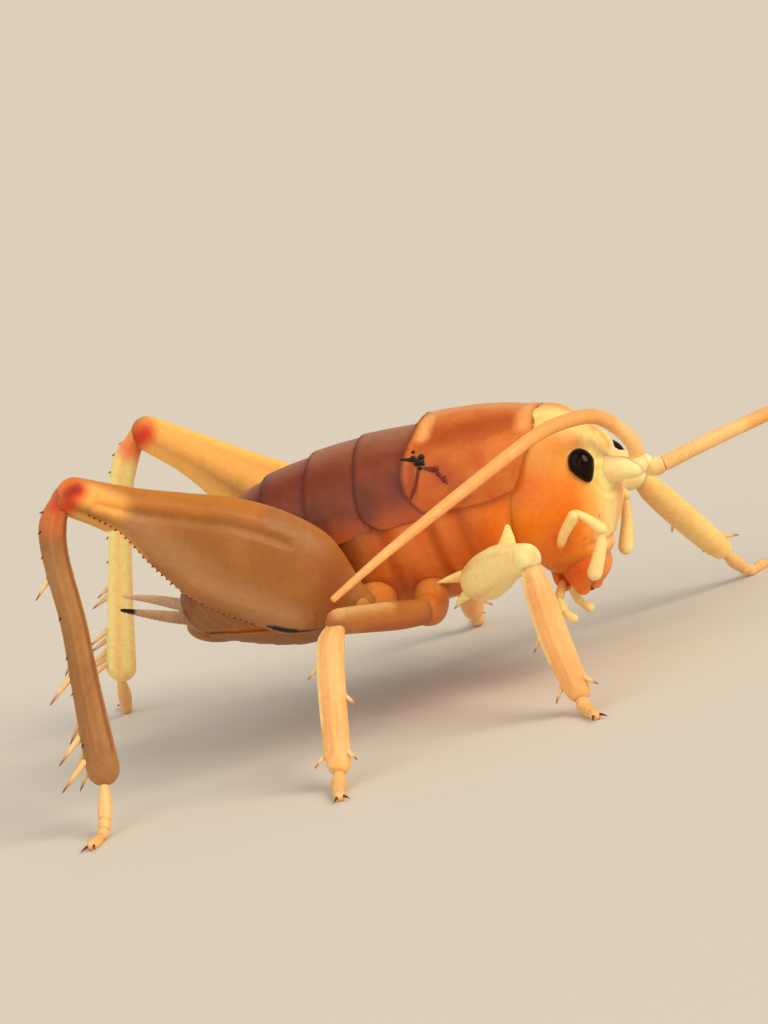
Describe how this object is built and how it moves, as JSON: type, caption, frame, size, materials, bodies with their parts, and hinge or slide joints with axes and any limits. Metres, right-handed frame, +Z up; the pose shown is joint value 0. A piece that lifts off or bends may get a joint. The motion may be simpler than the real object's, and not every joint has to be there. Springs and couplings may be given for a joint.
{
  "type": "sand-treader camel cricket model",
  "caption": "Life-size model of a pale sand-treader camel cricket standing on its feet, humped back, long hind legs, feelers arched over its head.",
  "frame": {"origin": "on the floor, under the middle of the whole stance with its feelers", "axes": "+X forward, towards the head and along the body; +Y to the animal's left; +Z up"},
  "size_m": [0.0546, 0.0333, 0.0166],
  "materials": {
    "back_cuticle": "satin, thin horn-like cuticle, warm orange-brown",
    "head_cuticle": "smooth satin cuticle, warm orange, paler on the face",
    "abdomen_cuticle": "satin, mauve-brown rings with darker rear edges",
    "leg_cuticle": "satin, pale cream-yellow and slightly see-through",
    "thigh_cuticle": "satin, tan with an orange-red knee",
    "feeler_cuticle": "satin, salmon-tan, finely ringed",
    "eye": "black, polished gloss",
    "mouth_cuticle": "dark orange-brown, semi-gloss"
  },
  "bodies": {
    "root": {"abdomen_1": "abdomen_cuticle", "abdomen_2": "abdomen_cuticle", "abdomen_3": "abdomen_cuticle", "abdomen_4": "abdomen_cuticle", "abdomen_5": "abdomen_cuticle", "abdomen_6": "abdomen_cuticle", "abdomen_7": "abdomen_cuticle", "antenna_left_1": "feeler_cuticle", "antenna_left_2": "feeler_cuticle", "antenna_left_3": "feeler_cuticle", "antenna_left_scape": "feeler_cuticle", "antenna_right_1": "feeler_cuticle", "antenna_right_2": "feeler_cuticle", "antenna_right_3": "feeler_cuticle", "antenna_right_scape": "feeler_cuticle", "cercus_left": "leg_cuticle", "cercus_right": "leg_cuticle", "eye_left": "eye", "eye_right": "eye", "front_left_coxa": "leg_cuticle", "front_left_femur": "leg_cuticle", "front_left_tarsus": "leg_cuticle", "front_left_tibia": "leg_cuticle", "front_right_coxa": "leg_cuticle", "front_right_femur": "leg_cuticle", "front_right_tarsus": "leg_cuticle", "front_right_tibia": "leg_cuticle", "head": "head_cuticle", "hind_left_coxa": "leg_cuticle", "hind_left_femur": "thigh_cuticle", "hind_left_tarsus": "leg_cuticle", "hind_left_tibia": "leg_cuticle", "hind_right_coxa": "leg_cuticle", "hind_right_femur": "thigh_cuticle", "hind_right_tarsus": "leg_cuticle", "hind_right_tibia": "leg_cuticle", "labium": "mouth_cuticle", "labrum": "mouth_cuticle", "lip_palp_left": "leg_cuticle", "lip_palp_right": "leg_cuticle", "mandible_left": "mouth_cuticle", "mandible_right": "mouth_cuticle", "mesonotum": "back_cuticle", "metanotum": "back_cuticle", "mid_left_coxa": "leg_cuticle", "mid_left_femur": "leg_cuticle", "mid_left_tarsus": "leg_cuticle", "mid_left_tibia": "leg_cuticle", "mid_right_coxa": "leg_cuticle", "mid_right_femur": "leg_cuticle", "mid_right_tarsus": "leg_cuticle", "mid_right_tibia": "leg_cuticle", "palp_left_base": "leg_cuticle", "palp_left_end": "leg_cuticle", "palp_right_base": "leg_cuticle", "palp_right_end": "leg_cuticle", "pronotum": "back_cuticle", "tail_plate": "abdomen_cuticle", "thorax_underside": "back_cuticle"}
  },
  "joints": []
}
